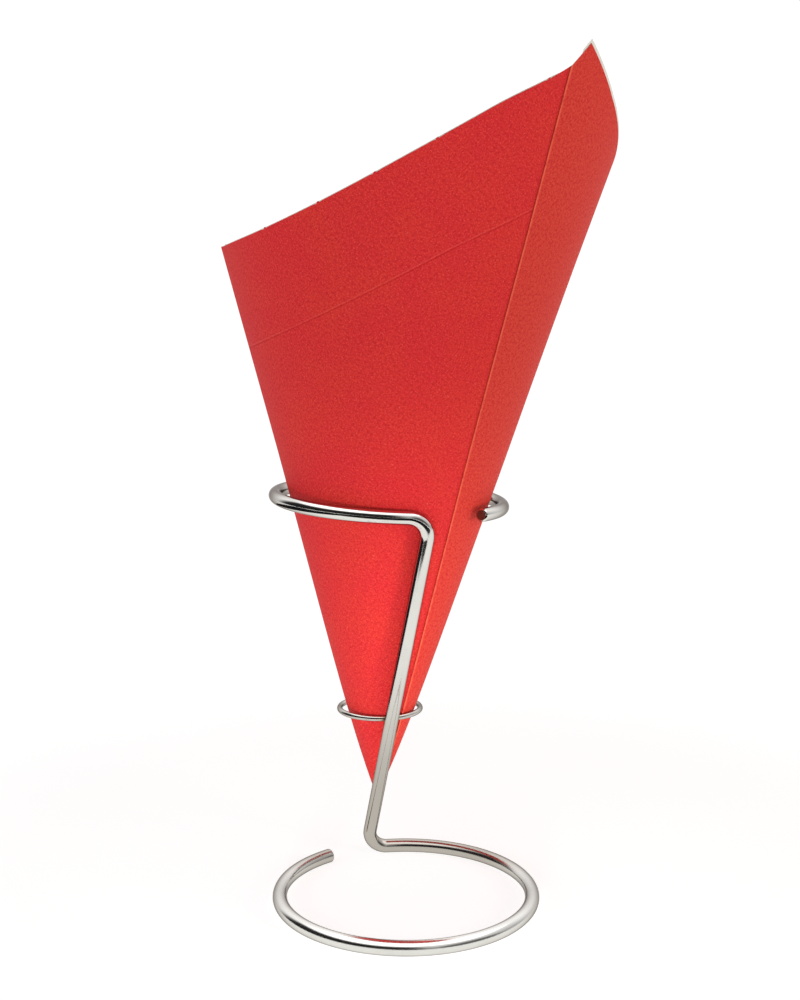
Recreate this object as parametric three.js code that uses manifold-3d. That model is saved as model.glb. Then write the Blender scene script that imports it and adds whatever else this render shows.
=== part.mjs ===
// Food-cone stand: one bent steel rod with two rings, a wire tip ring, and the paper cone it holds.
// Millimetres, +Z up, +Y away from the front. The base ring's centre is the working origin; the whole
// group is moved at the end so that the middle of its footprint is at X = Y = 0 and it stands on Z = 0.
import * as THREE from 'three';
import { mergeVertices } from 'three/addons/utils/BufferGeometryUtils.js';
import Module from 'manifold-3d';

// ---------- driving dimensions ----------
const GAP = 0.32; // air left between neighbouring pieces

// bent rod
const ROD_R = 3.0; // 6 mm bright drawn steel
const ROD_SIDES = 20;
const BASE_R = 52.65; // base ring, to the rod's centre line
const BASE_START = 102.5; // azimuth where the foot bend runs into the base ring, degrees
const BASE_END = -234.0; // azimuth of the base ring's free end
const FOOT_BEND_R = 6.0;
const UPPER_R = 51.0;
const UPPER_CENTRE = new THREE.Vector3(-7.3, 58.4, 162.0);
const UPPER_ROLL = -3.1; // the right side of the upper ring sits a little low
const UPPER_PITCH = 1.8; // and its back a little high
const UPPER_START = -80.9; // azimuth where the top bend runs into the upper ring
const UPPER_END = -398.5; // azimuth of the upper ring's free end
const TOP_BEND_R = 9.0;
const RING_STEP = 5.0; // degrees per ring facet

// wire ring round the cone's tip, and its weld
const TIP_WIRE_R = 1.25;
const TIP_RING_R = 18.3;
const TIP_RING_Z = 66.8;
const BEAD_ALONG = 2.6;
const BEAD_OUT = 2.3;
const BEAD_HIGH = 3.1;

// paper cone: one flat sheet rolled round an axis that leans slightly right and back
const TIP = new THREE.Vector3(-13.1, 54.5, 25.0); // where the sheet's generators meet
const LEAN_RIGHT = 0.0418; // axis lean, mm per mm of height
const LEAN_BACK = 0.0201;
const WIDTH_RATE = 0.3025; // half width gained per mm along a generator
const DEPTH_RATE = 0.3242; // half depth gained per mm along a generator
const TIP_SWELL_WIDTH = 0.283; // the winding is looser close to the tip
const TIP_SWELL_DEPTH = 0.31;
const SWELL_LENGTH = 60.0;
const CREASE_SPREAD = 0.4; // how far round the left crease flattens the section, radians
const SHEET_START = 7.0; // sheet begins this far along the generators, so the tip stays open
const PAPER_T = 0.4; // real paper is about half this
const LINER_T = 0.3;

// flat sheet: angles from the left crease, with the tip as centre
const WRAP = 112.3; // sheet angle that closes one full turn
const CREASE_SIDE = 256.0; // tip to the left crease's top corner
const SEAM_ANGLE = 39.3; // outer flap edge
const PEAK_ANGLE = 40.8; // top corner of the flap
const FLAP_SLOPE = 70.0; // direction of the normal of the cut from the peak down and round the back
const BACK_CORNER = 80.6; // where that cut meets the crease's cut, round the back
const UNDERLAP = 8.0; // sheet angle hidden under the flap
const LINER_PEEK = 1.2; // liner stands proud of the cut edge beside the peak
const LINER_SHOWS_TO = 62.0; // sheet angle where it drops back below the edge
const SHEET_ROWS = 16;

// ---------- finishes ----------
const polishedSteel = () => new THREE.MeshStandardMaterial({ color: 0xd4d6d8, roughness: 0.06, metalness: 1 });
const weldSteel = () => new THREE.MeshStandardMaterial({ color: 0x9a8b7c, roughness: 0.35, metalness: 1 });
const redPaper = () => new THREE.MeshStandardMaterial({ color: 0xcf2a2e, roughness: 0.85, metalness: 0 });
const palePaper = () => new THREE.MeshStandardMaterial({ color: 0xe4e1da, roughness: 0.8, metalness: 0 });

// ---------- helpers ----------
const rad = THREE.MathUtils.degToRad;

/** Named mesh. */
function piece(name, geometry, material) {
  const mesh = new THREE.Mesh(geometry, material);
  mesh.name = name;
  return mesh;
}

/** Manifold solid from a three.js geometry. */
function toManifold({ Manifold, Mesh }, source) {
  const bare = source.clone();
  bare.deleteAttribute('normal');
  bare.deleteAttribute('uv');
  const geometry = mergeVertices(bare, 1e-4);
  return new Manifold(new Mesh({
    numProp: 3,
    vertProperties: Float32Array.from(geometry.attributes.position.array),
    triVerts: Uint32Array.from(geometry.index.array),
  }));
}

/** three.js geometry from a manifold solid. */
function fromManifold(body) {
  const { vertProperties, triVerts } = body.getMesh();
  const geometry = new THREE.BufferGeometry();
  geometry.setAttribute('position', new THREE.BufferAttribute(Float32Array.from(vertProperties), 3));
  geometry.setIndex(new THREE.BufferAttribute(Uint32Array.from(triVerts), 1));
  geometry.computeVertexNormals();
  return geometry;
}

/** Point on a ring of radius r, tilted by roll and pitch, at the azimuth given in degrees. */
function ringPoint(centre, r, azimuth, roll = 0, pitch = 0) {
  const p = new THREE.Vector3(r * Math.cos(rad(azimuth)), r * Math.sin(rad(azimuth)), 0);
  p.set(p.x * Math.cos(rad(roll)), p.y, p.x * Math.sin(rad(roll)));
  p.applyAxisAngle(new THREE.Vector3(1, 0, 0), rad(pitch));
  return p.add(centre);
}

/** Ring points from one azimuth down to another, clockwise seen from above. */
function ringRun(centre, r, from, to, roll, pitch) {
  const steps = Math.ceil((from - to) / RING_STEP);
  return Array.from({ length: steps + 1 }, (_, i) => (
    ringPoint(centre, r, from + ((to - from) * i) / steps, roll, pitch)));
}

/** Unit direction in which a clockwise ring leaves the given azimuth. */
function ringHeading(centre, r, azimuth, roll, pitch) {
  const a = ringPoint(centre, r, azimuth + 0.01, roll, pitch);
  const b = ringPoint(centre, r, azimuth - 0.01, roll, pitch);
  return b.sub(a).normalize();
}

/** Arc of the given radius that rounds the corner between two directions. */
function bend(corner, into, out, radius, steps) {
  const turn = into.angleTo(out);
  const reach = radius * Math.tan(turn / 2);
  const start = corner.clone().addScaledVector(into, -reach);
  const inward = out.clone().addScaledVector(into, -into.dot(out)).normalize();
  const centre = start.clone().addScaledVector(inward, radius);
  return Array.from({ length: steps + 1 }, (_, i) => {
    const a = (turn * i) / steps;
    return centre.clone().addScaledVector(into, radius * Math.sin(a)).addScaledVector(inward, -radius * Math.cos(a));
  });
}

/** Path through given stations, one station per extrusion step, so that tight bends get short steps. */
class StationPath extends THREE.Curve {
  constructor(stations) {
    super();
    this.stations = stations;
  }

  getPoint(t, target = new THREE.Vector3()) {
    const last = this.stations.length - 1;
    const i = Math.min(Math.floor(t * last + 1e-6), last - 1);
    return target.lerpVectors(this.stations[i], this.stations[i + 1], t * last - i);
  }

  getPointAt(u, target) {
    return this.getPoint(u, target);
  }

  getTangent(t, target = new THREE.Vector3()) {
    const last = this.stations.length - 1;
    const i = Math.round(t * last);
    const [before, after] = [this.stations[Math.max(i - 1, 0)], this.stations[Math.min(i + 1, last)]];
    return target.subVectors(after, before).normalize();
  }

  getTangentAt(u, target) {
    return this.getTangent(u, target);
  }
}

/** Round section as a polygon whose flats lie at the rod's radius. */
function roundSection(radius, sides) {
  const circum = radius / Math.cos(Math.PI / sides);
  const corners = Array.from({ length: sides }, (_, j) => {
    const a = ((j + 0.5) * 2 * Math.PI) / sides;
    return new THREE.Vector2(circum * Math.cos(a), circum * Math.sin(a));
  });
  return new THREE.Shape(corners);
}

// ---------- bent rod ----------
const baseCentre = new THREE.Vector3(0, 0, ROD_R);
const baseHeading = ringHeading(baseCentre, BASE_R, BASE_START);
const upperHeading = ringHeading(UPPER_CENTRE, UPPER_R, UPPER_START, UPPER_ROLL, UPPER_PITCH);
const footCorner = ringPoint(baseCentre, BASE_R, BASE_START).addScaledVector(baseHeading, -6.5);
const topCorner = ringPoint(UPPER_CENTRE, UPPER_R, UPPER_START, UPPER_ROLL, UPPER_PITCH)
  .addScaledVector(upperHeading, -9.7);
const stemUp = topCorner.clone().sub(footCorner).normalize();

function bentRod(wasm) {
  const base = ringRun(baseCentre, BASE_R, BASE_START - 1, BASE_END).reverse();
  const foot = bend(footCorner, baseHeading.clone().negate(), stemUp, FOOT_BEND_R, 8);
  const top = bend(topCorner, stemUp, upperHeading, TOP_BEND_R, 9);
  const upper = ringRun(UPPER_CENTRE, UPPER_R, UPPER_START - 1, UPPER_END, UPPER_ROLL, UPPER_PITCH);
  const stations = [...base, ...foot, ...top, ...upper];
  const bar = new THREE.ExtrudeGeometry(roundSection(ROD_R, ROD_SIDES), {
    steps: stations.length - 1, extrudePath: new StationPath(stations), curveSegments: 1,
  });
  // the cut ends are rounded over
  const domes = [stations[0], stations[stations.length - 1]].map((end) => (
    new THREE.SphereGeometry(ROD_R * 0.98, 16, 10).translate(end.x, end.y, end.z)));
  const joined = domes.reduce((body, dome) => body.add(toManifold(wasm, dome)), toManifold(wasm, bar));
  return piece('stand_rod', fromManifold(joined), polishedSteel());
}

// ---------- tip ring and its weld ----------
const stemAt = footCorner.clone().addScaledVector(stemUp, (TIP_RING_Z - footCorner.z) / stemUp.z);
const axisAt = TIP.clone().add(new THREE.Vector3(LEAN_RIGHT, LEAN_BACK, 1).multiplyScalar(TIP_RING_Z - TIP.z));
const inward = axisAt.clone().sub(stemAt).setZ(0).normalize();
const stemReach = (ROD_R + GAP) / Math.sin(stemUp.angleTo(inward)) + TIP_WIRE_R;
const tipCentre = stemAt.clone().addScaledVector(inward, TIP_RING_R + stemReach);

const tipTorus = (wireRadius) => new THREE.TorusGeometry(TIP_RING_R, wireRadius, 10, 56)
  .translate(tipCentre.x, tipCentre.y, tipCentre.z);

/** Weld metal round the place where the wire meets the stem. */
function weldBead(wasm) {
  const contact = stemAt.clone().addScaledVector(inward, stemReach - TIP_WIRE_R - GAP / 2);
  const turn = new THREE.Matrix4().makeBasis(
    new THREE.Vector3(inward.y, -inward.x, 0), inward, new THREE.Vector3(0, 0, 1));
  const blob = new THREE.SphereGeometry(1, 20, 14).scale(BEAD_ALONG, BEAD_OUT, BEAD_HIGH)
    .applyMatrix4(turn).translate(contact.x, contact.y, contact.z);
  const toStem = new THREE.Quaternion().setFromUnitVectors(new THREE.Vector3(0, 1, 0), stemUp);
  const stem = new THREE.CylinderGeometry(ROD_R + GAP + 0.05, ROD_R + GAP + 0.05, 30, 32)
    .applyQuaternion(toStem).translate(stemAt.x, stemAt.y, stemAt.z);
  const bead = toManifold(wasm, blob)
    .subtract(toManifold(wasm, stem))
    .subtract(toManifold(wasm, tipTorus(TIP_WIRE_R + GAP)));
  return piece('tip_ring_weld', fromManifold(bead), weldSteel());
}

// ---------- paper cone ----------
const axis = new THREE.Vector3(LEAN_RIGHT, LEAN_BACK, 1).normalize();
const right = new THREE.Vector3(1, 0, -axis.x / axis.z);
right.addScaledVector(axis, -right.dot(axis)).normalize();
const front = new THREE.Vector3().crossVectors(right, axis);

/** Point on the rolled sheet: `rho` along a generator, `angle` in the flat sheet, `inset` inwards. */
function conePoint(rho, angle, inset) {
  const turn = (angle / WRAP) * 2 * Math.PI; // from the left crease, by way of the front
  const fromCrease = Math.min(turn % (2 * Math.PI), 2 * Math.PI - (turn % (2 * Math.PI)));
  const swell = Math.exp(-rho / SWELL_LENGTH);
  const x = -rho * WIDTH_RATE * (1 + TIP_SWELL_WIDTH * swell) * Math.cos(turn);
  const y = rho * DEPTH_RATE * (1 + TIP_SWELL_DEPTH * swell) * Math.sin(turn)
    * (1 - Math.exp(-fromCrease / CREASE_SPREAD));
  const r = Math.hypot(x, y);
  const keep = 1 - inset / r;
  return TIP.clone().addScaledVector(axis, Math.sqrt(rho * rho - r * r))
    .addScaledVector(right, x * keep).addScaledVector(front, y * keep);
}

/** Length of the generator at a flat-sheet angle, cut by the sheet's straight edges. */
function rimLength(angle) {
  const a = ((angle % WRAP) + WRAP) % WRAP;
  const peak = CREASE_SIDE / Math.cos(rad(PEAK_ANGLE));
  const flapSide = peak * Math.cos(rad(FLAP_SLOPE - PEAK_ANGLE)); // distance from the tip to the flap's cut
  const creaseCut = (b) => (b < 88 ? CREASE_SIDE / Math.cos(rad(b)) : Infinity);
  const flapCut = a >= PEAK_ANGLE - 0.01 ? flapSide / Math.cos(rad(a - FLAP_SLOPE)) : Infinity;
  return Math.min(a <= PEAK_ANGLE ? creaseCut(a) : Infinity, creaseCut(WRAP - a), flapCut);
}

/** Spiral inset: each layer lies one paper thickness and one gap inside the layer over it. */
const windIn = (angle) => ((PAPER_T + GAP) * (angle - SEAM_ANGLE)) / WRAP;

/** Flat-sheet angles of a ply's grid lines: even steps, with one line on each corner of the cut edge. */
function gridAngles(from, to) {
  const corners = [PEAK_ANGLE, BACK_CORNER, WRAP, SEAM_ANGLE + WRAP, PEAK_ANGLE + WRAP]
    .filter((c) => c > from + 0.2 && c < to - 0.2);
  const fixed = [from, ...corners, to];
  const step = WRAP / 66;
  const count = Math.floor((to - from) / step);
  const even = Array.from({ length: count }, (_, i) => from + (i + 1) * step)
    .filter((a) => fixed.every((c) => Math.abs(c - a) > step / 3));
  return [...fixed, ...even].sort((a, b) => a - b);
}

/**
 * Rolled ply between two flat-sheet angles, `inset` deep under the outer face and `thick` through.
 * It starts as a thin flat box, whose width, height and depth become angle, generator and thickness.
 */
function ply(from, to, inset, thick, rimTrim, sideTrim = 0) {
  const angles = gridAngles(from, to);
  const columns = angles.length - 1;
  const geometry = new THREE.BoxGeometry(1, 1, 1, columns, SHEET_ROWS, 1);
  const position = geometry.attributes.position;
  for (let v = 0; v < position.count; v += 1) {
    const column = Math.round((position.getX(v) + 0.5) * columns);
    const angle = angles[column];
    const top = rimLength(angle) + rimTrim(angle);
    const rho = SHEET_START + (top - SHEET_START) * (position.getY(v) + 0.5) ** 1.35;
    const edge = (column === 0 ? sideTrim : 0) - (column === columns ? sideTrim : 0);
    const turned = angle + THREE.MathUtils.radToDeg(edge / rho);
    const point = conePoint(rho, turned, windIn(turned) + inset + thick * (0.5 - position.getZ(v)));
    position.setXYZ(v, point.x, point.y, point.z);
  }
  geometry.computeVertexNormals();
  return geometry;
}

function paperCone() {
  const innerEnd = SEAM_ANGLE + WRAP + UNDERLAP;
  // under the flap the inner layer's corner is cut back so that it stays out of sight
  const hidden = (angle) => (angle > PEAK_ANGLE + WRAP - 0.1 ? -2.5 : 0);
  const shown = (angle) => (angle <= LINER_SHOWS_TO ? LINER_PEEK : -2.0);
  return [
    piece('cone_sheet', ply(SEAM_ANGLE, innerEnd, 0, PAPER_T, hidden), redPaper()),
    piece('cone_liner', ply(SEAM_ANGLE + UNDERLAP, innerEnd, PAPER_T + GAP, LINER_T, shown, 0.4), palePaper()),
  ];
}

// ---------- assembly ----------
const wasm = await Module();
wasm.setup();

const stand = new THREE.Group();
stand.name = 'stand';
stand.add(bentRod(wasm), piece('tip_ring', tipTorus(TIP_WIRE_R), polishedSteel()), weldBead(wasm));

const cone = new THREE.Group();
cone.name = 'cone';
cone.add(...paperCone());

const holder = new THREE.Group();
holder.name = 'food_cone_stand';
holder.add(stand, cone);
const box = new THREE.Box3().setFromObject(holder);
holder.position.set(-(box.min.x + box.max.x) / 2, -(box.min.y + box.max.y) / 2, -box.min.z);

export default holder;
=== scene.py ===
"""Food-cone stand: a bent, polished rod with two open rings, a wire tip ring and a rolled paper cone.

Lengths in the classes are millimetres in the working frame, whose origin is the base ring's centre on
the table. WorkFrame turns them into the metres and the frame of the CAD model.
"""
import logging
import math
from dataclasses import dataclass, field
from enum import Enum

import bmesh
import bpy
import numpy as np
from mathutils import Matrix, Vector, noise


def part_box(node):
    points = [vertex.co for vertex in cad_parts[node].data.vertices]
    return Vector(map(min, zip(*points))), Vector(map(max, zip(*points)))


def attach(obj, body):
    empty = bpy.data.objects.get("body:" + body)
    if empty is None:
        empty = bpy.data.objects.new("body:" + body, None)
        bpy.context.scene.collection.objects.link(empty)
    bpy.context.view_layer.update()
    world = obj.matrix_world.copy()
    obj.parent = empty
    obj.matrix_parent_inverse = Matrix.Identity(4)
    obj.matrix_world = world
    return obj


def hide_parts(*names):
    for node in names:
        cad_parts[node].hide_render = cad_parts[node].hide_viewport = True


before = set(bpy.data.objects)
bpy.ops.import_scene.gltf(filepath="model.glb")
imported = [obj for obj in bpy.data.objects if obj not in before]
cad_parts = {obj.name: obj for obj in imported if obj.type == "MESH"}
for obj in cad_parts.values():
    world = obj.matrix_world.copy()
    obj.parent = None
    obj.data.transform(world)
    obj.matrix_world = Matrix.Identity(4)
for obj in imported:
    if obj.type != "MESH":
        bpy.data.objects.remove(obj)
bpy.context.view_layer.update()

log = logging.getLogger("food_cone_stand")
MM = 0.001
BAR_RADIUS = 3.0
BASE_RING_RADIUS = 52.65


# ---------------------------------------------------------------- small helpers
class Socket(Enum):
    """Kinds of node-group socket used here."""

    GEOMETRY = "NodeSocketGeometry"
    NUMBER = "NodeSocketFloat"
    COUNT = "NodeSocketInt"
    MATERIAL = "NodeSocketMaterial"


class NodeSheet:
    """A node tree with short ways to add and join nodes."""

    def __init__(self, tree: bpy.types.NodeTree) -> None:
        """Start from an empty tree.

        Args:
            tree: The tree to fill; its nodes are removed first.
        """
        self.tree = tree
        tree.nodes.clear()

    def add(self, kind: str, **settings: object) -> bpy.types.Node:
        """Add a node.

        Args:
            kind: The node's type name.
            settings: Node properties; a name of the form in_N or in_NAME sets an input instead.

        Returns:
            The new node.
        """
        node = self.tree.nodes.new(kind)
        for key, value in settings.items():
            if key.startswith("in_"):
                label = key[3:]
                socket = node.inputs[int(label)] if label.isdigit() else node.inputs[label.replace("_", " ")]
                if isinstance(value, bpy.types.NodeSocket):
                    self.tree.links.new(value, socket)
                else:
                    socket.default_value = value
            else:
                setattr(node, key, value)
        return node

    def link(self, source: bpy.types.NodeSocket, target: bpy.types.NodeSocket) -> None:
        """Join two sockets.

        Args:
            source: Output to read from.
            target: Input to feed.
        """
        self.tree.links.new(source, target)

    def math(self, operation: str, *values: object) -> bpy.types.NodeSocket:
        """Add a Math node.

        Args:
            operation: The node's operation.
            values: Numbers or sockets, in the order of the inputs.

        Returns:
            The result.
        """
        node = self.tree.nodes.new("ShaderNodeMath")
        node.operation = operation
        for i, value in enumerate(values):
            if isinstance(value, bpy.types.NodeSocket):
                self.tree.links.new(value, node.inputs[i])
            else:
                node.inputs[i].default_value = value
        return node.outputs[0]

    def band(self, value: bpy.types.NodeSocket, low: float, high: float,
             to_low: float = 0.0, to_high: float = 1.0) -> bpy.types.NodeSocket:
        """Map a number smoothly from one range to another, clamped at both ends.

        Args:
            value: The number.
            low: Where the change starts.
            high: Where it ends.
            to_low: Result at and below low.
            to_high: Result at and above high.

        Returns:
            The mapped number.
        """
        node = self.tree.nodes.new("ShaderNodeMapRange")
        node.interpolation_type = "SMOOTHSTEP"
        self.tree.links.new(value, node.inputs["Value"])
        for name, number in (("From Min", low), ("From Max", high), ("To Min", to_low), ("To Max", to_high)):
            node.inputs[name].default_value = number
        return node.outputs["Result"]

    def blend(self, share: object, first: object, second: object) -> bpy.types.NodeSocket:
        """Mix two colours.

        Args:
            share: Share of the second colour, a number or a socket.
            first: Colour or socket shown at 0.
            second: Colour or socket shown at 1.

        Returns:
            The mixed colour.
        """
        node = self.tree.nodes.new("ShaderNodeMix")
        node.data_type = "RGBA"
        for socket, value in ((node.inputs[0], share), (node.inputs[6], first), (node.inputs[7], second)):
            if isinstance(value, bpy.types.NodeSocket):
                self.tree.links.new(value, socket)
            else:
                socket.default_value = value
        return node.outputs[2]

    def texture(self, vector: bpy.types.NodeSocket, scale: float, detail: float = 3.0,
                roughness: float = 0.5, distortion: float = 0.0) -> bpy.types.NodeSocket:
        """Add a noise texture.

        Args:
            vector: Where it is read.
            scale: Cells for each unit of the vector.
            detail: Octaves.
            roughness: Strength of the finer octaves.
            distortion: How much the pattern is twisted.

        Returns:
            The noise, from 0 to 1.
        """
        node = self.add("ShaderNodeTexNoise", in_Vector=vector, in_Scale=scale, in_Detail=detail,
                        in_Roughness=roughness, in_Distortion=distortion)
        return node.outputs["Fac"]


def mesh_object(name: str, verts: np.ndarray, faces: list[tuple[int, ...]]) -> bpy.types.Object:
    """Make a linked mesh object at the origin.

    Args:
        name: The piece's name.
        verts: Vertex positions in metres, in the CAD frame.
        faces: Vertex indices of each face.

    Returns:
        The new object.
    """
    mesh = bpy.data.meshes.new(name)
    mesh.from_pydata([tuple(map(float, v)) for v in verts], [], faces)
    mesh.update()
    obj = bpy.data.objects.new(name, mesh)
    bpy.context.scene.collection.objects.link(obj)
    return obj


def signed_volume(mesh: bpy.types.Mesh) -> float:
    """Measure a closed mesh.

    Args:
        mesh: The closed mesh.

    Returns:
        Its volume, negative if its faces point inwards.
    """
    mesh.calc_loop_triangles()
    co = np.array([v.co for v in mesh.vertices], float)
    tri = np.array([t.vertices for t in mesh.loop_triangles], int)
    first, second, third = co[tri[:, 0]], co[tri[:, 1]], co[tri[:, 2]]
    return float(np.einsum("ij,ij->i", first, np.cross(second, third)).sum() / 6)


def face_outwards(mesh: bpy.types.Mesh) -> None:
    """Turn all faces of a closed mesh to point outwards.

    Args:
        mesh: The closed mesh, changed in place.
    """
    if signed_volume(mesh) < 0:
        mesh.flip_normals()


# ---------------------------------------------------------------- finishes
@dataclass(frozen=True)
class PolishedSteel:
    """Mirror-polished drawn steel with die lines, hairline scratches and finger haze.

    The painted foot shade is laid on by place, not by light: painted shade that tones down the lower stem
    and the base ring's back.
    """

    name: str = "polished_steel"
    tint: tuple[float, float, float] = (0.66, 0.645, 0.62)
    haze_tint: tuple[float, float, float] = (0.57, 0.55, 0.52)
    speck_tint: tuple[float, float, float] = (0.42, 0.40, 0.38)
    pale_straw: tuple[float, float, float] = (0.72, 0.63, 0.47)
    brown_straw: tuple[float, float, float] = (0.52, 0.38, 0.24)
    burnt: tuple[float, float, float] = (0.30, 0.22, 0.17)
    # dark edge tint: painted shade on the bar's grazing edges
    painted_edge_shade_tint: tuple[float, float, float] = (0.30, 0.27, 0.26)
    # painted shade on the lower stem and the base ring's back
    painted_foot_shade_tint: tuple[float, float, float] = (0.335, 0.30, 0.265)
    painted_foot_shade_share: float = 0.8
    roughness: float = 0.085
    base_wear: float = 0.07
    weld_at: tuple[float, float, float] = (0.0, 0.0, 0.0)
    heat_reach: float = 0.0065

    def build(self) -> bpy.types.Material:
        """Build the finish.

        Returns:
            The node material. It reads the rod_run attribute: metres along, then cosine and sine round it.
        """
        material = bpy.data.materials.new(self.name)
        material.use_nodes = True
        sheet = NodeSheet(material.node_tree)
        run = sheet.add("ShaderNodeAttribute", attribute_name="rod_run").outputs["Vector"]
        place = sheet.add("ShaderNodeTexCoord").outputs["Object"]
        # die lines: long streaks along the rod, fine round it
        streak_space = sheet.add("ShaderNodeVectorMath", operation="MULTIPLY", in_0=run,
                                 in_1=(9.0, 26.0, 26.0))
        streaks = sheet.texture(streak_space.outputs[0], 1.0, 4.0, 0.65)
        fine_space = sheet.add("ShaderNodeVectorMath", operation="MULTIPLY", in_0=run,
                               in_1=(60.0, 90.0, 90.0))
        hairs = sheet.texture(fine_space.outputs[0], 1.0, 2.0, 0.7)
        haze = sheet.texture(place, 55.0, 4.0, 0.6, 0.4)
        specks = sheet.texture(place, 1500.0, 2.0, 0.5)
        # heat tint from welding the wire ring on
        away = sheet.add("ShaderNodeVectorMath", operation="DISTANCE", in_0=place, in_1=self.weld_at)
        fray = sheet.math("MULTIPLY", sheet.texture(place, 420.0), 0.002)
        ragged = sheet.math("ADD", away.outputs["Value"], fray)
        heat = sheet.band(ragged, 0.0022, self.heat_reach + 0.001, 1.0, 0.0)
        straw = sheet.add("ShaderNodeValToRGB", in_Fac=heat)
        ramp = straw.color_ramp
        ramp.elements[0].color = (*self.tint, 1)
        ramp.elements[1].position = 0.95
        ramp.elements[1].color = (*self.burnt, 1)
        for position, colour in ((0.35, self.pale_straw), (0.7, self.brown_straw)):
            ramp.elements.new(position).color = (*colour, 1)
        shade = sheet.blend(sheet.band(haze, 0.35, 0.75, 0.0, 0.35), straw.outputs["Color"],
                            (*self.haze_tint, 1))
        shade = sheet.blend(sheet.band(specks, 0.70, 0.78, 0.0, 0.35), shade, (*self.speck_tint, 1))
        # painted shade: duller tone on the lower stem and the back of the base ring
        split = sheet.add("ShaderNodeSeparateXYZ", in_Vector=place)
        level, depth = split.outputs["Z"], split.outputs["Y"]
        foot = sheet.math("MULTIPLY", sheet.band(depth, -0.045, -0.010),
                          sheet.band(level, 0.030, 0.115, 1.0, 0.0))
        shade = sheet.blend(sheet.math("MULTIPLY", foot, self.painted_foot_shade_share), shade, (*self.painted_foot_shade_tint, 1))
        gloss = sheet.math("MULTIPLY", sheet.band(streaks, 0.35, 0.8), 0.05)
        gloss = sheet.math("ADD", self.roughness, gloss)
        gloss = sheet.math("ADD", gloss, sheet.math("MULTIPLY", sheet.band(haze, 0.45, 0.8), 0.06))
        gloss = sheet.math("ADD", gloss, sheet.math("MULTIPLY", heat, 0.18))
        # the base ring has been slid about on counters and is duller than the rest
        gloss = sheet.math("ADD", gloss, sheet.band(level, 0.006, 0.012, self.base_wear, 0.0))
        height = sheet.math("ADD", sheet.math("MULTIPLY", streaks, 0.6),
                            sheet.math("MULTIPLY", hairs, 0.25))
        bump = sheet.add("ShaderNodeBump", in_Strength=0.05, in_Distance=0.0002, in_Height=height)
        shader = sheet.add("ShaderNodeBsdfPrincipled", in_Metallic=1.0, in_Base_Color=shade,
                           in_Roughness=gloss, in_Normal=bump.outputs[0])
        # dark edge tint: painted shade on the bar's grazing edges
        shader.inputs["Specular Tint"].default_value = (*self.painted_edge_shade_tint, 1)
        sheet.add("ShaderNodeOutputMaterial", in_Surface=shader.outputs[0])
        return material


@dataclass(frozen=True)
class ShearedEnd:
    """Cut end of the rod: dull and brownish, with bright shear lines."""

    name: str = "sheared_end"
    tint: tuple[float, float, float] = (0.235, 0.16, 0.13)
    blotch_tint: tuple[float, float, float] = (0.12, 0.07, 0.055)
    line_tint: tuple[float, float, float] = (0.55, 0.5, 0.46)
    roughness: float = 0.42

    def build(self) -> bpy.types.Material:
        """Build the finish.

        Returns:
            The node material.
        """
        material = bpy.data.materials.new(self.name)
        material.use_nodes = True
        sheet = NodeSheet(material.node_tree)
        place = sheet.add("ShaderNodeTexCoord").outputs["Object"]
        stretch = sheet.add("ShaderNodeMapping", in_Vector=place, in_Rotation=(0.3, 0.2, 0.5),
                            in_Scale=(2400.0, 500.0, 500.0))
        lines = sheet.texture(stretch.outputs[0], 1.0, 3.0, 0.6)
        blotch = sheet.texture(place, 900.0, 3.0, 0.6)
        shade = sheet.blend(sheet.band(blotch, 0.35, 0.7, 0.0, 0.6), (*self.tint, 1), (*self.blotch_tint, 1))
        shade = sheet.blend(sheet.band(lines, 0.62, 0.8, 0.0, 0.4), shade, (*self.line_tint, 1))
        bump = sheet.add("ShaderNodeBump", in_Strength=0.5, in_Distance=0.0002, in_Height=lines)
        shader = sheet.add("ShaderNodeBsdfPrincipled", in_Metallic=1.0, in_Base_Color=shade,
                           in_Roughness=self.roughness, in_Normal=bump.outputs[0])
        sheet.add("ShaderNodeOutputMaterial", in_Surface=shader.outputs[0])
        return material


@dataclass(frozen=True)
class BrazeMetal:
    """Braze bead: brassy to dark, rippled, with soot-dark flux specks."""

    name: str = "braze_metal"
    tint: tuple[float, float, float] = (0.50, 0.36, 0.22)
    dull_tint: tuple[float, float, float] = (0.33, 0.26, 0.21)
    flux_tint: tuple[float, float, float] = (0.09, 0.06, 0.05)

    def build(self) -> bpy.types.Material:
        """Build the finish.

        Returns:
            The node material.
        """
        material = bpy.data.materials.new(self.name)
        material.use_nodes = True
        sheet = NodeSheet(material.node_tree)
        place = sheet.add("ShaderNodeTexCoord").outputs["Object"]
        ripple = sheet.texture(place, 700.0, 3.0, 0.6, 0.6)
        flux = sheet.texture(place, 1900.0, 3.0, 0.7)
        shade = sheet.blend(sheet.band(ripple, 0.35, 0.7), (*self.tint, 1), (*self.dull_tint, 1))
        shade = sheet.blend(sheet.band(flux, 0.58, 0.72, 0.0, 0.8), shade, (*self.flux_tint, 1))
        rough = sheet.band(flux, 0.4, 0.75, 0.22, 0.6)
        bump = sheet.add("ShaderNodeBump", in_Strength=0.6, in_Distance=0.0003, in_Height=ripple)
        shader = sheet.add("ShaderNodeBsdfPrincipled", in_Metallic=1.0, in_Base_Color=shade,
                           in_Roughness=rough, in_Normal=bump.outputs[0])
        sheet.add("ShaderNodeOutputMaterial", in_Surface=shader.outputs[0])
        return material


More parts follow.
